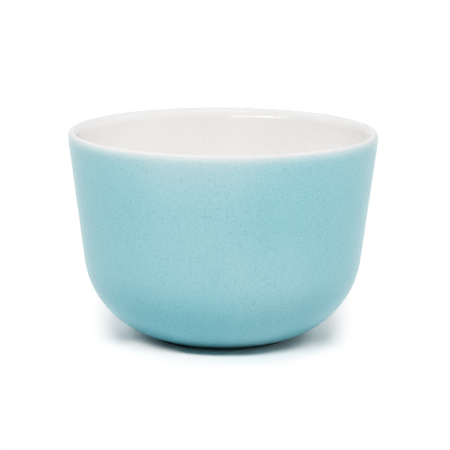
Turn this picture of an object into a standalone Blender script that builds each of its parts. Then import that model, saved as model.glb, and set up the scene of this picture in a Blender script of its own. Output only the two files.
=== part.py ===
"""Porcelain cup without a handle: a turned bowl on a foot ring, with each glaze coat as its own piece.

Metres, +Z up. The origin lies on the cup's axis, in the plane that the foot ring stands on.
Sizes are those of the finished cup, measured over the glaze. The clay body and the back of each
coat lie at an inset below that surface, so every profile here is a function of its inset.
"""

import math

import bpy
from mathutils import Vector

# Rim and wall
RIM_RADIUS = 0.045
HEIGHT = 0.061
WALL = 0.0024
WALL_LEAN = math.radians(7.5)
LIP_REACH = 0.00225  # length over which the wall rounds off into the lip

# Outside of the base, and the foot ring
BASE_CURVE = 0.0266
FOOT_RADIUS = 0.019
FOOT_HEIGHT = 0.0005  # straight side of the foot, below the cove that meets the base
FOOT_COVE = 0.0004
FOOT_WIDTH = 0.003
FOOT_EDGE = 0.0002
RECESS_DEPTH = 0.0018
RECESS_FILLET = 0.0007

# Inside of the bowl
FLOOR_LEVEL = 0.005
BOWL_CURVE = 0.022

# Glaze coats
GLAZE = 0.00025
GLAZE_GAP = 0.0002  # between a coat and the clay, and between two coats
BARE_FOOT = 0.0002  # height of the foot that is wiped clean of glaze

# Facets
TURN_STEPS = 48
LIP_STEPS = 8
BASE_STEPS = 9
BOWL_STEPS = 9
SMALL_STEPS = 3
MERGE = 0.00001

# Finishes: linear colours and roughness
BISQUE_WHITE = (0.80, 0.78, 0.74)
BISQUE_ROUGHNESS = 0.65
LINER_WHITE = (0.83, 0.81, 0.79)
LINER_ROUGHNESS = 0.12
TURQUOISE = (0.33, 0.61, 0.65)
SATIN_ROUGHNESS = 0.4

# Worked out from the sizes above, in the (radius, height) plane of the profiles
CLAY_INSET = GLAZE + GLAZE_GAP
UP_WALL = Vector((math.sin(WALL_LEAN), math.cos(WALL_LEAN)))
OUT_WALL = Vector((math.cos(WALL_LEAN), -math.sin(WALL_LEAN)))
FOOT_BORE = FOOT_RADIUS - FOOT_WIDTH


def lip_centre():
    """Middle of the lip's leaning half ellipse, whose widest and highest points touch the rim's sizes."""
    reach_out = math.hypot(WALL / 2 * OUT_WALL.x, LIP_REACH * UP_WALL.x)
    reach_up = math.hypot(LIP_REACH * UP_WALL.y, WALL / 2 * OUT_WALL.y)
    return Vector((RIM_RADIUS - reach_out, HEIGHT - reach_up))


def lip_side(across):
    """Point level with the lip's middle, at a distance across the wall that is positive outwards."""
    return lip_centre() + across * OUT_WALL


def arc(centre, radius, start, end, steps):
    """Points along an arc, with both ends."""
    turns = [start + (end - start) * i / steps for i in range(steps + 1)]
    return [centre + radius * Vector((math.cos(turn), math.sin(turn))) for turn in turns]


def cove_centre():
    return Vector((FOOT_RADIUS + FOOT_COVE, FOOT_HEIGHT))


def base_centre():
    """Centre of the base curve, which touches the outer wall's line and the cove at the foot."""
    from_cove = lip_side(WALL / 2) - BASE_CURVE * OUT_WALL - cove_centre()
    along = from_cove.dot(UP_WALL)
    across = from_cove.dot(OUT_WALL)
    drop = along - math.sqrt((BASE_CURVE + FOOT_COVE) ** 2 - across**2)
    return lip_side(WALL / 2) - BASE_CURVE * OUT_WALL - drop * UP_WALL


def bowl_centre():
    """Centre of the bowl curve, which touches the inner wall's line and the flat floor."""
    beside_wall = lip_side(-WALL / 2) - BOWL_CURVE * OUT_WALL
    drop = (beside_wall.y - FLOOR_LEVEL - BOWL_CURVE) / UP_WALL.y
    return beside_wall - drop * UP_WALL


def bowl_profile(inset):
    """Inside of the cup from its axis to the end of the bowl curve."""
    floor_point = Vector((0, FLOOR_LEVEL - inset))
    return [floor_point] + arc(bowl_centre(), BOWL_CURVE + inset, -math.pi / 2, -WALL_LEAN, BOWL_STEPS)


def lip_profile(inset):
    """Lip from its inner side, over the top, to its outer side."""
    points = []
    for i in range(LIP_STEPS + 1):
        turn = math.pi * (1 - i / LIP_STEPS)
        across = (WALL / 2 - inset) * math.cos(turn)
        points.append(lip_side(across) + (LIP_REACH - inset) * math.sin(turn) * UP_WALL)
    return points


def base_profile(inset):
    """Outside of the base from the end of the straight wall, through the cove, to the foot's side."""
    to_cove = cove_centre() - base_centre()
    meeting = math.atan2(to_cove.y, to_cove.x)
    curve = arc(base_centre(), BASE_CURVE - inset, -WALL_LEAN, meeting, BASE_STEPS)
    cove = arc(cove_centre(), FOOT_COVE + inset, meeting + math.pi, math.pi, SMALL_STEPS)
    return curve[:-1] + cove


def recess_profile(inset):
    """Hollow inside the foot ring, from the ring's inner side to the cup's axis."""
    centre = Vector((FOOT_BORE - RECESS_FILLET, RECESS_DEPTH - RECESS_FILLET))
    corner = arc(centre, RECESS_FILLET + inset, 0, math.pi / 2, SMALL_STEPS)
    return corner + [Vector((0, RECESS_DEPTH + inset))]


def foot_profile(inset):
    """Bare ring that the cup stands on, from its outer side, across the flat land, to its inner side."""
    outer = Vector((FOOT_RADIUS - inset - FOOT_EDGE, FOOT_EDGE))
    inner = Vector((FOOT_BORE + inset + FOOT_EDGE, FOOT_EDGE))
    down = arc(outer, FOOT_EDGE, 0, -math.pi / 2, SMALL_STEPS)
    up = arc(inner, FOOT_EDGE, -math.pi / 2, -math.pi, SMALL_STEPS)
    return down + up


def clay_body_profile():
    inside = bowl_profile(CLAY_INSET) + lip_profile(CLAY_INSET)
    outside = base_profile(CLAY_INSET) + foot_profile(CLAY_INSET)
    return inside + outside + recess_profile(CLAY_INSET)


def liner_profile():
    """White coat that lines the bowl and rolls over the lip."""
    face = bowl_profile(0) + lip_profile(0)
    back = bowl_profile(GLAZE) + lip_profile(GLAZE)
    return face + back[::-1]


def outer_coat_profile():
    """Turquoise coat from just below the lip to the wiped part of the foot."""
    face = [lip_side(WALL / 2) - GLAZE_GAP * UP_WALL]
    face += base_profile(0)
    face.append(Vector((FOOT_RADIUS, BARE_FOOT)))
    back = [lip_side(WALL / 2 - GLAZE) - GLAZE_GAP * UP_WALL]
    back += base_profile(GLAZE)
    back.append(Vector((FOOT_RADIUS - GLAZE, BARE_FOOT)))
    return face + back[::-1]


def recess_coat_profile():
    """Turquoise coat on the hollow inside the foot ring."""
    back = recess_profile(GLAZE)
    face = recess_profile(0)
    hem = [Vector((FOOT_BORE + GLAZE, BARE_FOOT)), Vector((FOOT_BORE, BARE_FOOT))]
    return back[::-1] + hem + face


def finish_material(name, colour, roughness):
    material = bpy.data.materials.new(name)
    material.use_nodes = True
    shader = material.node_tree.nodes["Principled BSDF"]
    shader.inputs["Base Color"].default_value = (*colour, 1)
    shader.inputs["Roughness"].default_value = roughness
    shader.inputs["Metallic"].default_value = 0
    return material


def turned_piece(name, profile, material, collection):
    """Turns a profile round Z. A profile whose ends are off the axis is closed into a loop."""
    on_axis = profile[0].x == 0
    edges = [(i, i + 1) for i in range(len(profile) - 1)]
    if not on_axis:
        edges.append((len(profile) - 1, 0))
    mesh = bpy.data.meshes.new(name)
    mesh.from_pydata([(point.x, 0, point.y) for point in profile], edges, [])
    mesh.materials.append(material)
    piece = bpy.data.objects.new(name, mesh)
    collection.objects.link(piece)
    screw = piece.modifiers.new("turn", "SCREW")
    screw.axis = "Z"
    screw.angle = math.tau
    screw.steps = TURN_STEPS
    screw.render_steps = TURN_STEPS
    screw.use_merge_vertices = True
    screw.merge_threshold = MERGE
    screw.use_smooth_shade = True
    return piece


def main():
    for old in list(bpy.data.objects):
        bpy.data.objects.remove(old)
    cup = bpy.data.collections.new("porcelain_cup")
    bpy.context.scene.collection.children.link(cup)
    bisque = finish_material("bisque", BISQUE_WHITE, BISQUE_ROUGHNESS)
    liner_gloss = finish_material("liner_gloss", LINER_WHITE, LINER_ROUGHNESS)
    outer_satin = finish_material("outer_satin", TURQUOISE, SATIN_ROUGHNESS)
    recess_satin = finish_material("recess_satin", TURQUOISE, SATIN_ROUGHNESS)
    turned_piece("porcelain_body", clay_body_profile(), bisque, cup)
    turned_piece("inner_glaze", liner_profile(), liner_gloss, cup)
    turned_piece("outer_glaze", outer_coat_profile(), outer_satin, cup)
    turned_piece("base_glaze", recess_coat_profile(), recess_satin, cup)


main()
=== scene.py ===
"""Looks of the porcelain cup: finely turned pieces, glazes, floor, light and camera.

Metres, +Z up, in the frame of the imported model. The cup is a turned shape, so each piece comes
from a profile in the (radius, height) plane. Profiles are functions of an inset below the finished
glaze. Bearings are in degrees. They are 0 at the camera's side of the cup and grow to the right.
"""

import math

import bmesh
import bpy
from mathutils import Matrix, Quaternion, Vector, noise


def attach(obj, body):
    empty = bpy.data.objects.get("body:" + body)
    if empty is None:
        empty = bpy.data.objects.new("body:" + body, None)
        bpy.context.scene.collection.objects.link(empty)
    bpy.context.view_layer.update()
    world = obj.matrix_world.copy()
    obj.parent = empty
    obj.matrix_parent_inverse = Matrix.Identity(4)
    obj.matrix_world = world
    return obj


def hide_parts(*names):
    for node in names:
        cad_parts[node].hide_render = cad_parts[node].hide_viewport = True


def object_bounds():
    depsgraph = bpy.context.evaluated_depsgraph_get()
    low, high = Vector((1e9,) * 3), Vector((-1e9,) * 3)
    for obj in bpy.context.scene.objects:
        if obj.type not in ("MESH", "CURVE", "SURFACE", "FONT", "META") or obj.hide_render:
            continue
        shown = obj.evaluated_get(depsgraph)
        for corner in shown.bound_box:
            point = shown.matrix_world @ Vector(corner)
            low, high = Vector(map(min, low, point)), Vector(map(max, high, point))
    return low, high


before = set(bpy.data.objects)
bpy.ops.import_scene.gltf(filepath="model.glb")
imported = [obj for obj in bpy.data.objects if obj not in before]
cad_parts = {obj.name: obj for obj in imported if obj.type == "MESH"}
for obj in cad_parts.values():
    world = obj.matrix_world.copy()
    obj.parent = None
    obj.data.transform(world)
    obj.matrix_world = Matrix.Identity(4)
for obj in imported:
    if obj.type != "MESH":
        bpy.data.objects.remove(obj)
cad_low, cad_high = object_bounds()

# Rim and wall
RIM_RADIUS = cad_high.x
HEIGHT = cad_high.z
WALL = 0.0024
WALL_LEAN = math.radians(7.5)
LIP_REACH = 0.00225  # length over which the wall rounds off into the lip

# Outside of the base, and the foot ring
BASE_CURVE = 0.0266
FOOT_RADIUS = 0.019
FOOT_HEIGHT = 0.0005  # straight side of the foot, below the cove that meets the base
FOOT_COVE = 0.0004
FOOT_WIDTH = 0.003
FOOT_EDGE = 0.0002
RECESS_DEPTH = 0.0018
RECESS_FILLET = 0.0007

# Inside of the bowl
FLOOR_LEVEL = 0.005
BOWL_CURVE = 0.022

# Glaze coats
GLAZE = 0.00025
BARE_FOOT = 0.00005  # height of the foot that is wiped clean of glaze
CLAY_GAP = 0.00002  # keeps the clay's skin just clear of the backs of the coats

# Fineness of the turned pieces
TURN_STEPS = 180
LIP_STEPS = 28
CURVE_STEPS = 36
SMALL_STEPS = 10
LONGEST_STEP = 0.0015
MERGE = 0.000001
SHARP_EDGE = math.radians(50)

# Unevenness of the fired surface: long waves with finer ones on them
WAVE_DEPTH = 0.00004
WAVE_LENGTH = 0.014
FINE_WAVES = 2.3  # for each long one
FINE_SHARE = 0.5
WAVE_EASE = 0.004  # distance from the coats' seam over which the waves set in

# Colours. The glaze goes from bare porcelain to turquoise, its colour at the wall's depth of 1
PORCELAIN = (0.764, 0.763, 0.767)
TURQUOISE = (0.273, 0.587, 0.647)
PIN_COLOUR = (0.09, 0.2, 0.2, 1)
# painted shade near the foot, where the base meets the floor
FOOT_SHADE_COLOUR = (0.05, 0.1, 0.11, 1)
LINER_WHITE = (0.893, 0.88, 0.87, 1)
LINER_CREAM = (0.883, 0.868, 0.856, 1)
# painted light: the lip's inner band, paler as it faces up
LIP_PAINTED_LIGHT = (0.912, 0.905, 0.896, 1)
CLAY_PALE = (0.82, 0.8, 0.76, 1)
CLAY_WARM = (0.76, 0.73, 0.68, 1)
CLAY_RUBBED = (0.6, 0.58, 0.55, 1)
FLOOR_WHITE = (0.95, 0.95, 0.95, 1)
WHITE = (1, 1, 1, 1)

# The sprayed coat fades out towards the rim, between two distances below it
FADE_START = 0.0005
FADE_END = 0.0056
FADE_CURVE = 2.5
FADE_WANDER = 0.0004
FADE_WANDER_SIZE = 0.006

# It is thinner all round the shoulder and in a low streak. A painted highlight makes it paler in a
# patch under the lip and in a streak below that, at the front left.
# A loss is a share of the wall's depth. A spread is the angle from the middle to either side.
# painted highlight: bearing of the paler patch and streak, where the satin would catch the light
SHEEN_BEARING = -10
SHEEN_PATCH_SPREAD = 43
SHEEN_PATCH_FOOT = 0.042
SHEEN_PATCH_LOSS = 0.19
SHOULDER_FOOT = 0.046
SHOULDER_TOP = 0.058
SHOULDER_LOSS = 0.1
SHEEN_STREAK_SPREAD = 28
SHEEN_STREAK_FOOT = 0.018
SHEEN_STREAK_TOP = 0.034
SHEEN_STREAK_LOSS = (0.08, 0.15)  # at its foot and top
LOW_BEARING = 20
LOW_SPREAD = 24
LOW_TOP = 0.04
LOW_FOOT = 0.027
LOW_LOSS = 0.15

# It is blotchy and has run down to the base, most at one side. Where it meets the foot it is
# darkened by painted shade
BLOTCH_SIZE = 0.014
BLOTCH_DEPTH = 0.06
RUN_BEARING = -68
RUN_SPREAD = 90
RUN_TOP = 0.024
RUN_FOOT = 0.005
RUN_DEPTH = (0.51, 0.79)  # added all round, and at the side where it is most
# heights between which painted shade darkens the glaze towards the foot
FOOT_SHADE_TOP = 0.001
FOOT_SHADE_FOOT = 0.0005
FOOT_SHADE_SHARE = 0.95

# Coat in the hollow inside the foot ring, which is deeper towards the corner
RECESS_COAT = (0.95, 2.0)
RECESS_POOL_WIDTH = 0.0028

# Specks in the glaze: grain and spots add depth, and pins are dark dots
GRAIN_SIZE = 0.0005
GRAIN_RANGE = (0.45, 0.8)
GRAIN_OFFSET = 0.3  # thins the glaze between the grains
WALL_GRAIN = 0.29
SPOT_SPACING = 0.0025
SPOT_RADIUS = 0.00036
WALL_SPOTS = 0.42
PIN_SPACING = 0.0055
PIN_RADIUS = 0.00022
PIN_STRENGTH = 0.65
DOT_CORE = 0.4  # share of a dot's radius inside which it is full
SPECK_SHADE = 0.14  # how much a speck with a depth of 1 also darkens the glaze
TONE_SIZE = 0.0004
WALL_TONE = 0.033
LINER_TONE = 0.018

# Noises run about a mean, and nearly all of one lies in this range
CLOUD_MEAN = 0.5
CLOUD_RANGE = (0.3, 0.7)

# Satin of the outside
SATIN_ROUGHNESS = 0.25
SATIN_CHANGE = 0.02
SATIN_DIMPLE = 0.000001

# Liner, by distances below the rim: a satin lip in a band painted paler as if lit from above, then
# gloss, a roll and a ripple
SATIN_LIP = 0.0013
LIT_BAND_START = 0.0024
LIT_BAND_END = 0.0027
ROLL_TOP = 0.0019
ROLL_FOOT = 0.0025
ROLL_HEIGHT = 0.000008
RIPPLE_SIZE = 0.0008
RIPPLE_HEIGHT = 0.000018
GLOSS_ROUGHNESS = 0.06
GLOSS_CHANGE = 0.02
LINER_CLOUD_SIZE = 0.01
SPRAY_START = -0.0011  # where the spray on the lip sets in, outwards from the lip's middle
SPRAY_END = -0.0001  # where it is whole
# Painted shade on one side of the inside
LINER_SHADE_BEARING = 134  # where painted shade makes the liner deepest in tone
LINER_SHADE_SPREAD = 44
LINER_SHADE_TONE = 0.948

# Bare clay
CLAY_GRAIN_SIZE = 0.0006
CLAY_ROUGHNESS = (0.6, 0.75)
CLAY_RUB_SIZE = 0.004
CLAY_RUB_RANGE = (0.45, 0.7)
CLAY_RUB_SHARE = 0.6
CLAY_PITS = 0.00005

# The floor keeps its shade near the cup and turns plain white away from it. Distances are from a
# spine that runs back from the cup's axis. A pair is for the cup's side and its front.
FLOOR_SIZE = 4
SPINE_LENGTH = 0.07
SHADOW_SPREAD = 0.05  # how much the shadow widens along the spine
SHADOW_LEAN = 0.0012
CONTACT_START = (0.0222, 0.0251)
CONTACT_END = (0.029, 0.0277)
SIDE_GLOW = 0.2
FRONT_GLOW = (0.66, 0.4)  # left and right of the front
OUTER_START = (0.0285, 0.031)
OUTER_END = (0.039, 0.045)
MIRRORED_START = (0.0265, 0.0205)
MIRRORED_END = (0.0405, 0.034)

# Ranges of how far ahead a place on the floor is, 0 beside the cup and 1 straight in front of it
TURNED_RANGE = (0, 0.6)
FRONT_RANGE = (0.75, 1)
NEAR_RANGE = (0.6, 0.92)
LEAN_RANGE = (-0.5, 0.5)  # how far ahead times how far to the right

# Lamps: a level is the brightness of a lamp's face beside a white of 1
LAMP_DISTANCE = 1.0
LAMPS = {
    "key": {"bearing": 0, "elevation": 50, "width": 0.6, "height": 0.3, "level": 12.95},
    "left": {"bearing": -95, "elevation": 42, "width": 0.8, "height": 0.8, "level": 2.05},
    "right": {"bearing": 95, "elevation": 29, "width": 0.8, "height": 0.8, "level": 1.82},
    "back": {"bearing": 180, "elevation": 45, "width": 1.0, "height": 0.8, "level": 1.5},
    "strip": {"bearing": -28, "elevation": 10.8, "width": 0.75, "height": 0.03, "level": 11.0},
}
MIRRORED_LAMPS = ("strip",)  # only mirrored in the glaze
SKY = 1.0  # white
MIRRORED_SKY = 0.8

# Camera, as the photograph was taken
LENS = 246.4
SENSOR = 36
CAMERA_RANGE = 20
CAMERA_PLACE = Vector((0, -0.8832, 0.2022))
CAMERA_AIM = Vector((0.00066, 0.0008, 0.0329))
CAMERA_ROLL = math.radians(0.344)

# Sockets of Blender's Mix node: its share and its two colours, and the colour that comes out
MIX_INPUTS = (0, 6, 7)
MIX_RESULT = 2

# Worked out from the sizes above
UP_WALL = Vector((math.sin(WALL_LEAN), math.cos(WALL_LEAN)))
OUT_WALL = Vector((math.cos(WALL_LEAN), -math.sin(WALL_LEAN)))
FOOT_BORE = FOOT_RADIUS - FOOT_WIDTH


def towards(bearing, elevation=0):
    """Unit vector away from the cup at a bearing and an elevation in degrees."""
    turn = math.radians(bearing)
    tilt = math.radians(elevation)
    out = math.cos(tilt)
    return Vector((math.sin(turn) * out, -math.cos(turn) * out, math.sin(tilt)))


def lip_centre():
    """Middle of the lip's leaning half ellipse, whose widest and highest points meet the rim."""
    reach_out = math.hypot(WALL / 2 * OUT_WALL.x, LIP_REACH * UP_WALL.x)
    reach_up = math.hypot(LIP_REACH * UP_WALL.y, WALL / 2 * OUT_WALL.y)
    return Vector((RIM_RADIUS - reach_out, HEIGHT - reach_up))


def lip_side(across):
    """Point beside the lip's middle, at a distance across the wall that is positive outwards."""
    return lip_centre() + across * OUT_WALL


def arc(centre, radius, start, end, steps):
    """Points along an arc, with both ends."""
    turns = [start + (end - start) * i / steps for i in range(steps + 1)]
    return [centre + radius * Vector((math.cos(turn), math.sin(turn))) for turn in turns]


def cove_centre():
    return Vector((FOOT_RADIUS + FOOT_COVE, FOOT_HEIGHT))


def base_centre():
    """Centre of the base curve, which touches the outer wall's line and the cove at the foot."""
    from_cove = lip_side(WALL / 2) - BASE_CURVE * OUT_WALL - cove_centre()
    along = from_cove.dot(UP_WALL)
    across = from_cove.dot(OUT_WALL)
    drop = along - math.sqrt((BASE_CURVE + FOOT_COVE) ** 2 - across**2)
    return lip_side(WALL / 2) - BASE_CURVE * OUT_WALL - drop * UP_WALL


def bowl_centre():
    """Centre of the bowl curve, which touches the inner wall's line and the flat floor."""
    beside_wall = lip_side(-WALL / 2) - BOWL_CURVE * OUT_WALL
    drop = (beside_wall.y - FLOOR_LEVEL - BOWL_CURVE) / UP_WALL.y
    return beside_wall - drop * UP_WALL


def bowl_profile(inset):
    """Inside of the cup from its axis to the end of the bowl curve."""
    floor_point = Vector((0, FLOOR_LEVEL - inset))
    curve = arc(bowl_centre(), BOWL_CURVE + inset, -math.pi / 2, -WALL_LEAN, CURVE_STEPS)
    return [floor_point] + curve


def lip_profile(inset):
    """Lip from its inner side, over the top, to its outer side."""
    points = []
    for i in range(LIP_STEPS + 1):
        turn = math.pi * (1 - i / LIP_STEPS)
        across = (WALL / 2 - inset) * math.cos(turn)
        points.append(lip_side(across) + (LIP_REACH - inset) * math.sin(turn) * UP_WALL)
    return points


def base_profile(inset):
    """Outside of the base from the end of the straight wall, through the cove, to the foot."""
    to_cove = cove_centre() - base_centre()
    meeting = math.atan2(to_cove.y, to_cove.x)
    curve = arc(base_centre(), BASE_CURVE - inset, -WALL_LEAN, meeting, CURVE_STEPS)
    cove = arc(cove_centre(), FOOT_COVE + inset, meeting + math.pi, math.pi, SMALL_STEPS)
    return curve[:-1] + cove


def recess_profile(inset):
    """Hollow inside the foot ring, from the ring's inner side to the cup's axis."""
    centre = Vector((FOOT_BORE - RECESS_FILLET, RECESS_DEPTH - RECESS_FILLET))
    corner = arc(centre, RECESS_FILLET + inset, 0, math.pi / 2, SMALL_STEPS)
    return corner + [Vector((0, RECESS_DEPTH + inset))]


def foot_profile(inset):
    """Bare ring that the cup stands on, from its outer side, across the land, to its inner side."""
    outer = Vector((FOOT_RADIUS - inset - FOOT_EDGE, FOOT_EDGE))
    inner = Vector((FOOT_BORE + inset + FOOT_EDGE, FOOT_EDGE))
    down = arc(outer, FOOT_EDGE, 0, -math.pi / 2, SMALL_STEPS)
    up = arc(inner, FOOT_EDGE, -math.pi / 2, -math.pi, SMALL_STEPS)
    return down + up


def hem(radius, back):
    """Rounded end of a coat where the foot is wiped clean, from the coat's face to its back."""
    thickness = abs(back - radius)
    middle = Vector(((radius + back) / 2, BARE_FOOT + thickness / 2))
    start = 0 if radius > back else math.pi
    sweep = -math.pi if radius > back else math.pi
    return arc(middle, thickness / 2, start, start + sweep, SMALL_STEPS)


def clay_profile():
    inset = GLAZE + CLAY_GAP
    inside = bowl_profile(inset) + lip_profile(inset)
    outside = base_profile(inset) + foot_profile(inset)
    return inside + outside + recess_profile(inset)


def liner_profile():
    """White coat that lines the bowl and rolls over the lip."""
    face = bowl_profile(0) + lip_profile(0)
    back = bowl_profile(GLAZE) + lip_profile(GLAZE)
    return face + back[::-1]


def outer_coat_profile():
    """Turquoise coat from the liner's edge under the lip to the wiped part of the foot."""
    face = [lip_side(WALL / 2)] + base_profile(0)
    back = [lip_side(WALL / 2 - GLAZE)] + base_profile(GLAZE)
    return face + hem(FOOT_RADIUS, FOOT_RADIUS - GLAZE) + back[::-1]


def recess_coat_profile():
    """Turquoise coat on the hollow inside the foot ring."""
    back = recess_profile(GLAZE)
    return back[::-1] + hem(FOOT_BORE, FOOT_BORE + GLAZE)[::-1] + recess_profile(0)


def divided(profile, closed):
    """The same profile with points added, so that no step is too long to take the waves."""
    ends = profile[1:] + profile[:1] if closed else profile[1:]
    points = []
    for start, end in zip(profile, ends):
        parts = max(1, math.ceil((end - start).length / LONGEST_STEP))
        points += [start.lerp(end, i / parts) for i in range(parts)]
    return points if closed else points + profile[-1:]


def wave(place):
    """How far the fired surface lies below the true turned shape. It is 0 at the coats' seam."""
    swell = noise.noise(place / WAVE_LENGTH)
    swell += FINE_SHARE * noise.noise(place / WAVE_LENGTH * FINE_WAVES)
    from_seam = abs(place.z - lip_side(WALL / 2).y) / WAVE_EASE
    return WAVE_DEPTH * min(1, from_seam) * min(1, max(0, (1 + swell) / 2))


def turned_piece(name, profile, waves=True):
    """Turns a profile round Z into a closed mesh. One with its ends off the axis becomes a loop."""
    closed = profile[0].x > 0
    points = divided(profile, closed)
    shape = bmesh.new()
    rail = [shape.verts.new((point.x, 0, point.y)) for point in points]
    edges = [shape.edges.new(pair) for pair in zip(rail, rail[1:])]
    if closed:
        edges.append(shape.edges.new((rail[-1], rail[0])))
    bmesh.ops.spin(
        shape,
        geom=rail + edges,
        axis=(0, 0, 1),
        cent=(0, 0, 0),
        steps=TURN_STEPS,
        angle=math.tau,
        use_merge=True,
    )
    bmesh.ops.remove_doubles(shape, verts=shape.verts, dist=MERGE)
    bmesh.ops.recalc_face_normals(shape, faces=shape.faces)
    if waves:
        shape.normal_update()
        for vert in shape.verts:
            vert.co -= wave(vert.co) * vert.normal
    mesh = bpy.data.meshes.new(name)
    shape.to_mesh(mesh)
    shape.free()
    mesh.shade_smooth()
    mesh.set_sharp_from_angle(angle=SHARP_EDGE)
    piece = bpy.data.objects.new(name, mesh)
    bpy.context.scene.collection.objects.link(piece)
    return piece


def finish_piece(piece, material, node):
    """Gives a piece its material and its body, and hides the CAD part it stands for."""
    piece.data.materials.append(material)
    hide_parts(node)
    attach(piece, "root")


class Wiring:
    """Adds nodes to one node tree and links them."""

    def __init__(self, tree):
        self.tree = tree

    def add(self, kind, inputs=None, **settings):
        """New node, with each input set to a value or linked to a socket."""
        node = self.tree.nodes.new(kind)
        for name, value in settings.items():
            setattr(node, name, value)
        for name, value in (inputs or {}).items():
            self.feed(node.inputs[name], value)
        return node

    def feed(self, socket, value):
        if isinstance(value, bpy.types.NodeSocket):
            self.tree.links.new(value, socket)
        else:
            socket.default_value = value

    def group(self, tree, inputs=None):
        return self.add("ShaderNodeGroup", inputs, node_tree=tree).outputs

    def maths(self, operation, first, second=0.0):
        return self.add("ShaderNodeMath", {0: first, 1: second}, operation=operation).outputs[0]

    def total(self, first, *others):
        """Sum of the values."""
        for value in others:
            first = self.maths("ADD", first, value)
        return first

    def vectors(self, operation, first, second=(0, 0, 0)):
        """Outputs of a vector operation. Vector holds the result, or Value if it is a number."""
        node = self.add("ShaderNodeVectorMath", {0: first, 1: second}, operation=operation)
        return node.outputs

    def ramp(self, value, start, end, low=0.0, high=1.0, kind="SMOOTHSTEP"):
        """Goes from low to high while the value goes from start to end, and stays there."""
        inputs = {"Value": value, "From Min": start, "From Max": end, "To Min": low, "To Max": high}
        return self.add("ShaderNodeMapRange", inputs, interpolation_type=kind).outputs["Result"]

    def between(self, share, low, high):
        """Goes from low to high while the share goes from 0 to 1."""
        return self.ramp(share, 0, 1, low, high)

    def about(self, cloud, middle, change):
        """Number that a noise moves up and down from its middle."""
        return self.ramp(cloud, *CLOUD_RANGE, middle - change, middle + change)

    def place(self):
        """Where a point of the surface lies in the frame."""
        return self.add("ShaderNodeTexCoord").outputs["Object"]

    def parts(self, place):
        """X, Y and Z of a place."""
        return self.add("ShaderNodeSeparateXYZ", {0: place}).outputs

    def levelled(self, place):
        """A place brought down to the level of the table."""
        return self.vectors("MULTIPLY", place, (1, 1, 0))["Vector"]

    def axis_distance(self, place):
        return self.vectors("LENGTH", self.levelled(place))["Value"]

    def side_share(self, place, bearing, spread, low, high):
        """Goes from low, at the spread to either side of a bearing, to high at the bearing."""
        outwards = self.vectors("NORMALIZE", self.levelled(place))["Vector"]
        facing = self.vectors("DOT_PRODUCT", outwards, towards(bearing))["Value"]
        return self.ramp(facing, math.cos(math.radians(spread)), 1, low, high)

    def cloud(self, place, size, detail):
        """Noise from 0 to 1 whose blobs are about the given size."""
        inputs = {"Vector": place, "Scale": 1 / size, "Detail": detail}
        return self.add("ShaderNodeTexNoise", inputs).outputs["Fac"]

    def dots(self, place, spacing, radius):
        """Mask of soft round dots scattered at about the given spacing."""
        cells = self.add("ShaderNodeTexVoronoi", {"Vector": place, "Scale": 1 / spacing})
        edge = radius / spacing
        return self.ramp(cells.outputs["Distance"], edge, DOT_CORE * edge)

    def mixed(self, share, first, second):
        """Colour that goes from the first to the second with the share."""
        inputs = dict(zip(MIX_INPUTS, (share, first, second)))
        return self.add("ShaderNodeMix", inputs, data_type="RGBA").outputs[MIX_RESULT]

    def toned(self, colour, tone):
        """Colour made darker or paler by a factor."""
        node = self.add("ShaderNodeVectorMath", {0: colour, "Scale": tone}, operation="SCALE")
        return node.outputs["Vector"]

    def bump(self, height, scale=1.0):
        """Normal of a surface whose height in metres is the value times the scale."""
        return self.add("ShaderNodeBump", {"Height": height, "Distance": scale}).outputs["Normal"]


def new_group(name, inputs, outputs):
    """Empty shader node group with the named sockets. All are numbers but one named Color."""
    tree = bpy.data.node_groups.new(name, "ShaderNodeTree")
    for way, sockets in (("INPUT", inputs), ("OUTPUT", outputs)):
        for socket in sockets:
            kind = "NodeSocketColor" if socket == "Color" else "NodeSocketFloat"
            tree.interface.new_socket(socket, in_out=way, socket_type=kind)
    return tree


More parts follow.
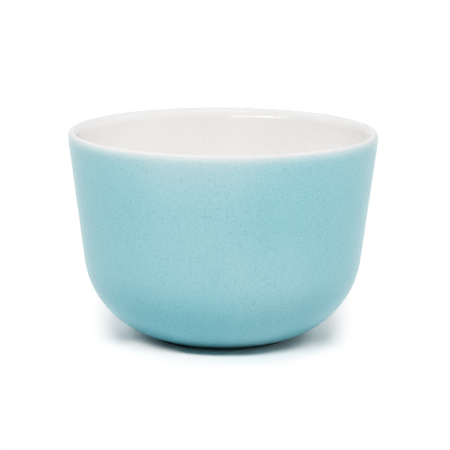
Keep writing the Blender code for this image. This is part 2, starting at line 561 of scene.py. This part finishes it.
def coat_depth_and_sheen_group():
    """Depth of the sprayed turquoise: 0 on the bare lip, 1 on the wall, more where it has run, less
    in a painted highlight.
    """
    tree = new_group("coat_depth_and_sheen", [], ["Depth", "Blotches"])
    wire = Wiring(tree)
    place = wire.place()
    height = wire.parts(place)["Z"]
    wander = wire.maths("MULTIPLY", wire.cloud(place, FADE_WANDER_SIZE, detail=1), FADE_WANDER)
    rim = HEIGHT + FADE_WANDER * CLOUD_MEAN
    below = wire.maths("SUBTRACT", wire.maths("SUBTRACT", rim, height), wander)
    bare = wire.ramp(below, FADE_START, FADE_END, 1, 0, kind="LINEAR")
    cover = wire.maths("SUBTRACT", 1, wire.maths("POWER", bare, FADE_CURVE))
    # Painted highlight: a patch and a streak at the front left are thinned, so paler, where the
    # satin would catch the light
    sheen_patch_loss = wire.side_share(place, SHEEN_BEARING, SHEEN_PATCH_SPREAD, 0, SHEEN_PATCH_LOSS)
    sheen_patch = wire.ramp(height, SHEEN_PATCH_FOOT, HEIGHT, 0, sheen_patch_loss)
    shoulder = wire.ramp(height, SHOULDER_FOOT, SHOULDER_TOP, 0, SHOULDER_LOSS)
    sheen_streak_loss = wire.ramp(height, SHEEN_STREAK_FOOT, SHEEN_STREAK_TOP, *SHEEN_STREAK_LOSS)
    sheen_streak = wire.side_share(place, SHEEN_BEARING, SHEEN_STREAK_SPREAD, 0, sheen_streak_loss)
    low_loss = wire.side_share(place, LOW_BEARING, LOW_SPREAD, 0, LOW_LOSS)
    low_streak = wire.ramp(height, LOW_TOP, LOW_FOOT, 0, low_loss)
    # The shoulder and the low streak are thinner glaze. The patch and the streak above are a
    # painted highlight.
    thinned_and_sheen = wire.maths("SUBTRACT", 1, wire.total(shoulder, sheen_patch, sheen_streak, low_streak))
    blotches = wire.maths("SUBTRACT", wire.cloud(place, BLOTCH_SIZE, detail=2), CLOUD_MEAN)
    uneven = wire.total(thinned_and_sheen, wire.maths("MULTIPLY", blotches, BLOTCH_DEPTH))
    run_depth = wire.side_share(place, RUN_BEARING, RUN_SPREAD, *RUN_DEPTH)
    run = wire.ramp(height, RUN_TOP, RUN_FOOT, 0, run_depth)
    depth = wire.total(wire.maths("MULTIPLY", cover, uneven), run)
    wire.add("NodeGroupOutput", {"Depth": depth, "Blotches": blotches})
    return tree


def specks_group():
    """Grain and spots that deepen a glaze, dark pins, a fine change of tone, and satin."""
    amounts = ["Grain", "Spots", "Tone"]
    results = ["Depth", "Shade", "Pins", "Grain", "Tone", "Roughness"]
    tree = new_group("glaze_specks", amounts, results)
    wire = Wiring(tree)
    amount = wire.add("NodeGroupInput").outputs
    place = wire.place()
    grain = wire.cloud(place, GRAIN_SIZE, detail=1)
    specked = wire.maths("SUBTRACT", wire.ramp(grain, *GRAIN_RANGE), GRAIN_OFFSET)
    grain_depth = wire.maths("MULTIPLY", specked, amount["Grain"])
    spots = wire.dots(place, SPOT_SPACING, SPOT_RADIUS)
    depth = wire.total(grain_depth, wire.maths("MULTIPLY", spots, amount["Spots"]))
    shade = wire.maths("SUBTRACT", 1, wire.maths("MULTIPLY", depth, SPECK_SHADE))
    pins = wire.dots(place, PIN_SPACING, PIN_RADIUS)
    darkest = wire.maths("SUBTRACT", 1, amount["Tone"])
    palest = wire.maths("ADD", 1, amount["Tone"])
    tone = wire.ramp(wire.cloud(place, TONE_SIZE, detail=1), *CLOUD_RANGE, darkest, palest)
    rough = wire.about(grain, SATIN_ROUGHNESS, SATIN_CHANGE)
    wire.add("NodeGroupOutput", dict(zip(results, (depth, shade, pins, grain, tone, rough))))
    return tree


def glaze_colour_group():
    """Colour of speckled turquoise over porcelain, which takes up more light the deeper it is."""
    tree = new_group("glaze_colour", ["Depth", "Shade", "Tone", "Pins"], ["Color"])
    wire = Wiring(tree)
    given = wire.add("NodeGroupInput").outputs
    depth = wire.maths("MAXIMUM", given["Depth"], 0)
    passed = wire.add("ShaderNodeCombineColor")
    for channel, bare, full in zip(("Red", "Green", "Blue"), PORCELAIN, TURQUOISE):
        share = wire.maths("POWER", full / bare, depth)
        wire.feed(passed.inputs[channel], wire.maths("MULTIPLY", share, bare))
    tone = wire.maths("MULTIPLY", given["Shade"], given["Tone"])
    colour = wire.toned(passed.outputs["Color"], tone)
    pins = wire.maths("MULTIPLY", given["Pins"], PIN_STRENGTH)
    wire.add("NodeGroupOutput", {"Color": wire.mixed(pins, colour, PIN_COLOUR)})
    return tree


def new_material(name):
    """New material, the wiring of its nodes, and the sockets of its shader."""
    material = bpy.data.materials.new(name)
    material.use_nodes = True
    nodes = material.node_tree.nodes
    return material, Wiring(material.node_tree), nodes["Principled BSDF"].inputs


def wall_specks(wire, groups, tone):
    """Specks as strong as they are on the wall, with a change of tone of their own."""
    amounts = {"Grain": WALL_GRAIN, "Spots": WALL_SPOTS, "Tone": tone}
    return wire.group(groups["specks"], amounts)


def deepened(wire, coat, specks):
    """Depth of a coat with that of its specks, which is a share of the coat's."""
    return wire.total(coat, wire.maths("MULTIPLY", specks["Depth"], coat))


def speckled(wire, groups, depth, specks):
    """Colour of the turquoise at a depth, with all its specks and its change of tone."""
    inputs = {name: specks[name] for name in ("Shade", "Tone", "Pins")}
    return wire.group(groups["colour"], {"Depth": depth, **inputs})["Color"]


def satin_finish(wire, shader, specks):
    """Satin whose roughness and dimples follow the grain of its specks."""
    wire.feed(shader["Roughness"], specks["Roughness"])
    wire.feed(shader["Normal"], wire.bump(specks["Grain"], SATIN_DIMPLE))


def outer_material(groups):
    """Satin turquoise, thin and white at the lip, deeper round the base, with painted shade at the
    foot.
    """
    material, wire, shader = new_material("sprayed_turquoise")
    specks = wall_specks(wire, groups, WALL_TONE)
    depth = deepened(wire, wire.group(groups["depth"])["Depth"], specks)
    colour = speckled(wire, groups, depth, specks)
    # Painted shade: a dark colour mixed in near the foot, in the gap between the base and the floor
    foot_shade = wire.ramp(wire.parts(wire.place())["Z"], FOOT_SHADE_TOP, FOOT_SHADE_FOOT, 0, FOOT_SHADE_SHARE)
    wire.feed(shader["Base Color"], wire.mixed(foot_shade, colour, FOOT_SHADE_COLOUR))
    satin_finish(wire, shader, specks)
    return material


def liner_material(groups):
    """Glossy warm white with a slight ripple. The turquoise spray fades out over the lip."""
    material, wire, shader = new_material("liner_white")
    place = wire.place()
    below = wire.maths("SUBTRACT", HEIGHT, wire.parts(place)["Z"])
    middle = lip_centre().x
    outside = wire.ramp(wire.axis_distance(place), middle + SPRAY_START, middle + SPRAY_END)
    specks = wall_specks(wire, groups, LINER_TONE)
    coat = wire.maths("MULTIPLY", wire.group(groups["depth"])["Depth"], outside)
    spray = {"Depth": deepened(wire, coat, specks), "Shade": specks["Shade"], "Tone": 1, "Pins": 0}
    sprayed = wire.group(groups["colour"], spray)["Color"]
    clouds = wire.ramp(wire.cloud(place, LINER_CLOUD_SIZE, detail=2), *CLOUD_RANGE)
    white = wire.mixed(clouds, LINER_WHITE, LINER_CREAM)
    # Painted light: the band at the lip is paler, as if lit from above
    with_lit_lip = wire.mixed(wire.ramp(below, LIT_BAND_START, LIT_BAND_END), LIP_PAINTED_LIGHT, white)
    # Painted shade: the liner is darker in tone at one side of the inside
    shaded_white = wire.toned(with_lit_lip, wire.side_share(place, LINER_SHADE_BEARING, LINER_SHADE_SPREAD, 1, LINER_SHADE_TONE))
    colour = wire.toned(wire.mixed(outside, shaded_white, sprayed), specks["Tone"])
    wire.feed(shader["Base Color"], colour)
    ripple = wire.cloud(place, RIPPLE_SIZE, detail=1)
    gloss = wire.about(ripple, GLOSS_ROUGHNESS, GLOSS_CHANGE)
    wire.feed(shader["Roughness"], wire.ramp(below, SATIN_LIP, ROLL_TOP, SATIN_ROUGHNESS, gloss))
    roll = wire.ramp(below, ROLL_TOP, ROLL_FOOT, 0, ROLL_HEIGHT)
    relief = wire.total(roll, wire.maths("MULTIPLY", ripple, RIPPLE_HEIGHT))
    wire.feed(shader["Normal"], wire.bump(relief))
    return material


def recess_material(groups):
    """Turquoise under the cup, deeper in the corner where it ran together."""
    material, wire, shader = new_material("recess_turquoise")
    specks = wall_specks(wire, groups, WALL_TONE)
    radius = wire.axis_distance(wire.place())
    corner = wire.ramp(radius, FOOT_BORE - RECESS_POOL_WIDTH, FOOT_BORE, *RECESS_COAT)
    blotches = wire.maths("MULTIPLY", wire.group(groups["depth"])["Blotches"], BLOTCH_DEPTH)
    depth = wire.total(corner, blotches, specks["Depth"])
    wire.feed(shader["Base Color"], speckled(wire, groups, depth, specks))
    satin_finish(wire, shader, specks)
    return material


def clay_material():
    """Bare fired clay on the foot: matt, finely grained, a little grey where it has been rubbed."""
    material, wire, shader = new_material("bare_clay")
    place = wire.place()
    grain = wire.cloud(place, CLAY_GRAIN_SIZE, detail=3)
    rubs = wire.cloud(place, CLAY_RUB_SIZE, detail=2)
    rubbed = wire.ramp(rubs, *CLAY_RUB_RANGE, 0, CLAY_RUB_SHARE)
    tint = wire.mixed(wire.ramp(grain, *CLOUD_RANGE), CLAY_PALE, CLAY_WARM)
    wire.feed(shader["Base Color"], wire.mixed(rubbed, tint, CLAY_RUBBED))
    wire.feed(shader["Roughness"], wire.ramp(grain, *CLOUD_RANGE, *CLAY_ROUGHNESS))
    wire.feed(shader["Normal"], wire.bump(grain, CLAY_PITS))
    return material


def seen_share(wire, straight, mirrored):
    """One share for what the camera sees, another for what a glaze mirrors, and none for light."""
    path = wire.add("ShaderNodeLightPath").outputs
    bounced = wire.maths("MAXIMUM", path["Is Glossy Ray"], path["Is Transmission Ray"])
    by_camera = wire.maths("MULTIPLY", path["Is Camera Ray"], straight)
    return wire.maths("MAXIMUM", by_camera, wire.maths("MULTIPLY", bounced, mirrored))


def from_spine(wire):
    """How far a place on the floor is from the shadow's spine, and how far ahead and right of it.

    The distance counts as less towards the back, where the shadow is wider.
    """
    place = wire.parts(wire.place())
    limits = {"Value": place["Y"], "Min": 0, "Max": SPINE_LENGTH}
    spine = wire.add("ShaderNodeClamp", limits).outputs["Result"]
    along = wire.maths("SUBTRACT", place["Y"], spine)
    offset = wire.add("ShaderNodeCombineXYZ", {"X": place["X"], "Y": along}).outputs["Vector"]
    reach = wire.vectors("LENGTH", offset)["Value"]
    away = wire.maths("SUBTRACT", reach, wire.maths("MULTIPLY", spine, SHADOW_SPREAD))
    ahead = wire.maths("DIVIDE", wire.maths("MULTIPLY", along, -1), reach)
    right = wire.maths("DIVIDE", place["X"], reach)
    return away, ahead, right


def plain_share(wire, away, ahead, right):
    """How plain a white the camera sees on the floor: a first step near the cup, then up to 1."""
    turned = wire.ramp(ahead, *TURNED_RANGE)
    front = wire.ramp(ahead, *FRONT_RANGE)
    lean = wire.maths("MULTIPLY", ahead, right)
    leaning = wire.maths("SUBTRACT", away, wire.maths("MULTIPLY", lean, SHADOW_LEAN))
    glow = wire.between(turned, SIDE_GLOW, wire.ramp(lean, *LEAN_RANGE, *FRONT_GLOW))
    contact_start = wire.between(front, *CONTACT_START)
    contact_end = wire.between(front, *CONTACT_END)
    contact = wire.ramp(leaning, contact_start, contact_end, 0, glow)
    outer_start = wire.between(turned, *OUTER_START)
    outer_end = wire.between(front, *OUTER_END)
    return wire.ramp(leaning, outer_start, outer_end, contact, 1)


def mirrored_share(wire, away, ahead):
    """How plain a white the glaze mirrors from the floor."""
    near = wire.ramp(ahead, *NEAR_RANGE)
    start = wire.between(near, *MIRRORED_START)
    return wire.ramp(away, start, wire.between(near, *MIRRORED_END))


def floor_material():
    """White floor that keeps the shadow under and behind the cup, and is plain white elsewhere."""
    material, wire, shader = new_material("white_floor")
    wire.feed(shader["Base Color"], FLOOR_WHITE)
    wire.feed(shader["Roughness"], 1.0)
    wire.feed(shader["Specular IOR Level"], 0.0)
    away, ahead, right = from_spine(wire)
    straight = plain_share(wire, away, ahead, right)
    mirrored = mirrored_share(wire, away, ahead)
    glow = wire.add("ShaderNodeEmission", {"Color": WHITE, "Strength": 1.0}).outputs[0]
    nodes = material.node_tree.nodes
    shade = nodes["Principled BSDF"].outputs[0]
    share = seen_share(wire, straight, mirrored)
    surface = wire.add("ShaderNodeMixShader", {0: share, 1: shade, 2: glow}).outputs[0]
    wire.feed(nodes["Material Output"].inputs["Surface"], surface)
    return material


def add_floor():
    mesh = bpy.data.meshes.new("floor")
    half = FLOOR_SIZE / 2
    corners = [(-half, -half, 0), (half, -half, 0), (half, half, 0), (-half, half, 0)]
    mesh.from_pydata(corners, [], [(0, 1, 2, 3)])
    mesh.materials.append(floor_material())
    floor = bpy.data.objects.new("floor", mesh)
    bpy.context.scene.collection.objects.link(floor)


def add_lamp(name, bearing, elevation, width, height, level):
    """Soft box that faces the cup, and either lights it or is only mirrored in its glaze."""
    away = towards(bearing, elevation)
    mirrored = name in MIRRORED_LAMPS
    data = bpy.data.lights.new(name, "AREA")
    data.shape = "RECTANGLE"
    data.size = width
    data.size_y = height
    data.energy = math.pi * width * height * level
    lamp = bpy.data.objects.new(name, data)
    lamp.location = Vector((0, 0, HEIGHT / 2)) + LAMP_DISTANCE * away
    lamp.rotation_euler = (-away).to_track_quat("-Z", "Y").to_euler()
    lamp.visible_diffuse = not mirrored
    lamp.visible_glossy = mirrored
    bpy.context.scene.collection.objects.link(lamp)


def add_light():
    """Lamps, and a white sky that is seen and mirrored but lights nothing."""
    world = bpy.data.worlds.new("studio")
    world.use_nodes = True
    world.cycles.sampling_method = "NONE"
    wire = Wiring(world.node_tree)
    background = world.node_tree.nodes["Background"].inputs
    wire.feed(background["Color"], WHITE)
    wire.feed(background["Strength"], seen_share(wire, SKY, MIRRORED_SKY))
    bpy.context.scene.world = world
    for name, lamp in LAMPS.items():
        add_lamp(name, **lamp)


def add_camera():
    data = bpy.data.cameras.new("camera")
    data.lens = LENS
    data.sensor_width = SENSOR
    data.clip_end = CAMERA_RANGE
    camera = bpy.data.objects.new("camera", data)
    aim = (CAMERA_AIM - CAMERA_PLACE).to_track_quat("-Z", "Y")
    camera.location = CAMERA_PLACE
    camera.rotation_mode = "QUATERNION"
    camera.rotation_quaternion = aim @ Quaternion((0, 0, 1), CAMERA_ROLL)
    bpy.context.scene.collection.objects.link(camera)
    bpy.context.scene.camera = camera


def main():
    bpy.context.scene.view_settings.view_transform = "Standard"
    clay = turned_piece("clay_body", clay_profile(), waves=False)
    liner = turned_piece("white_liner", liner_profile())
    outer = turned_piece("turquoise_coat", outer_coat_profile())
    recess = turned_piece("recess_coat", recess_coat_profile())
    groups = {
        "depth": coat_depth_and_sheen_group(),
        "specks": specks_group(),
        "colour": glaze_colour_group(),
    }
    finish_piece(clay, clay_material(), "porcelain_body")
    finish_piece(liner, liner_material(groups), "inner_glaze")
    finish_piece(outer, outer_material(groups), "outer_glaze")
    finish_piece(recess, recess_material(groups), "base_glaze")
    add_floor()
    add_light()
    add_camera()


main()
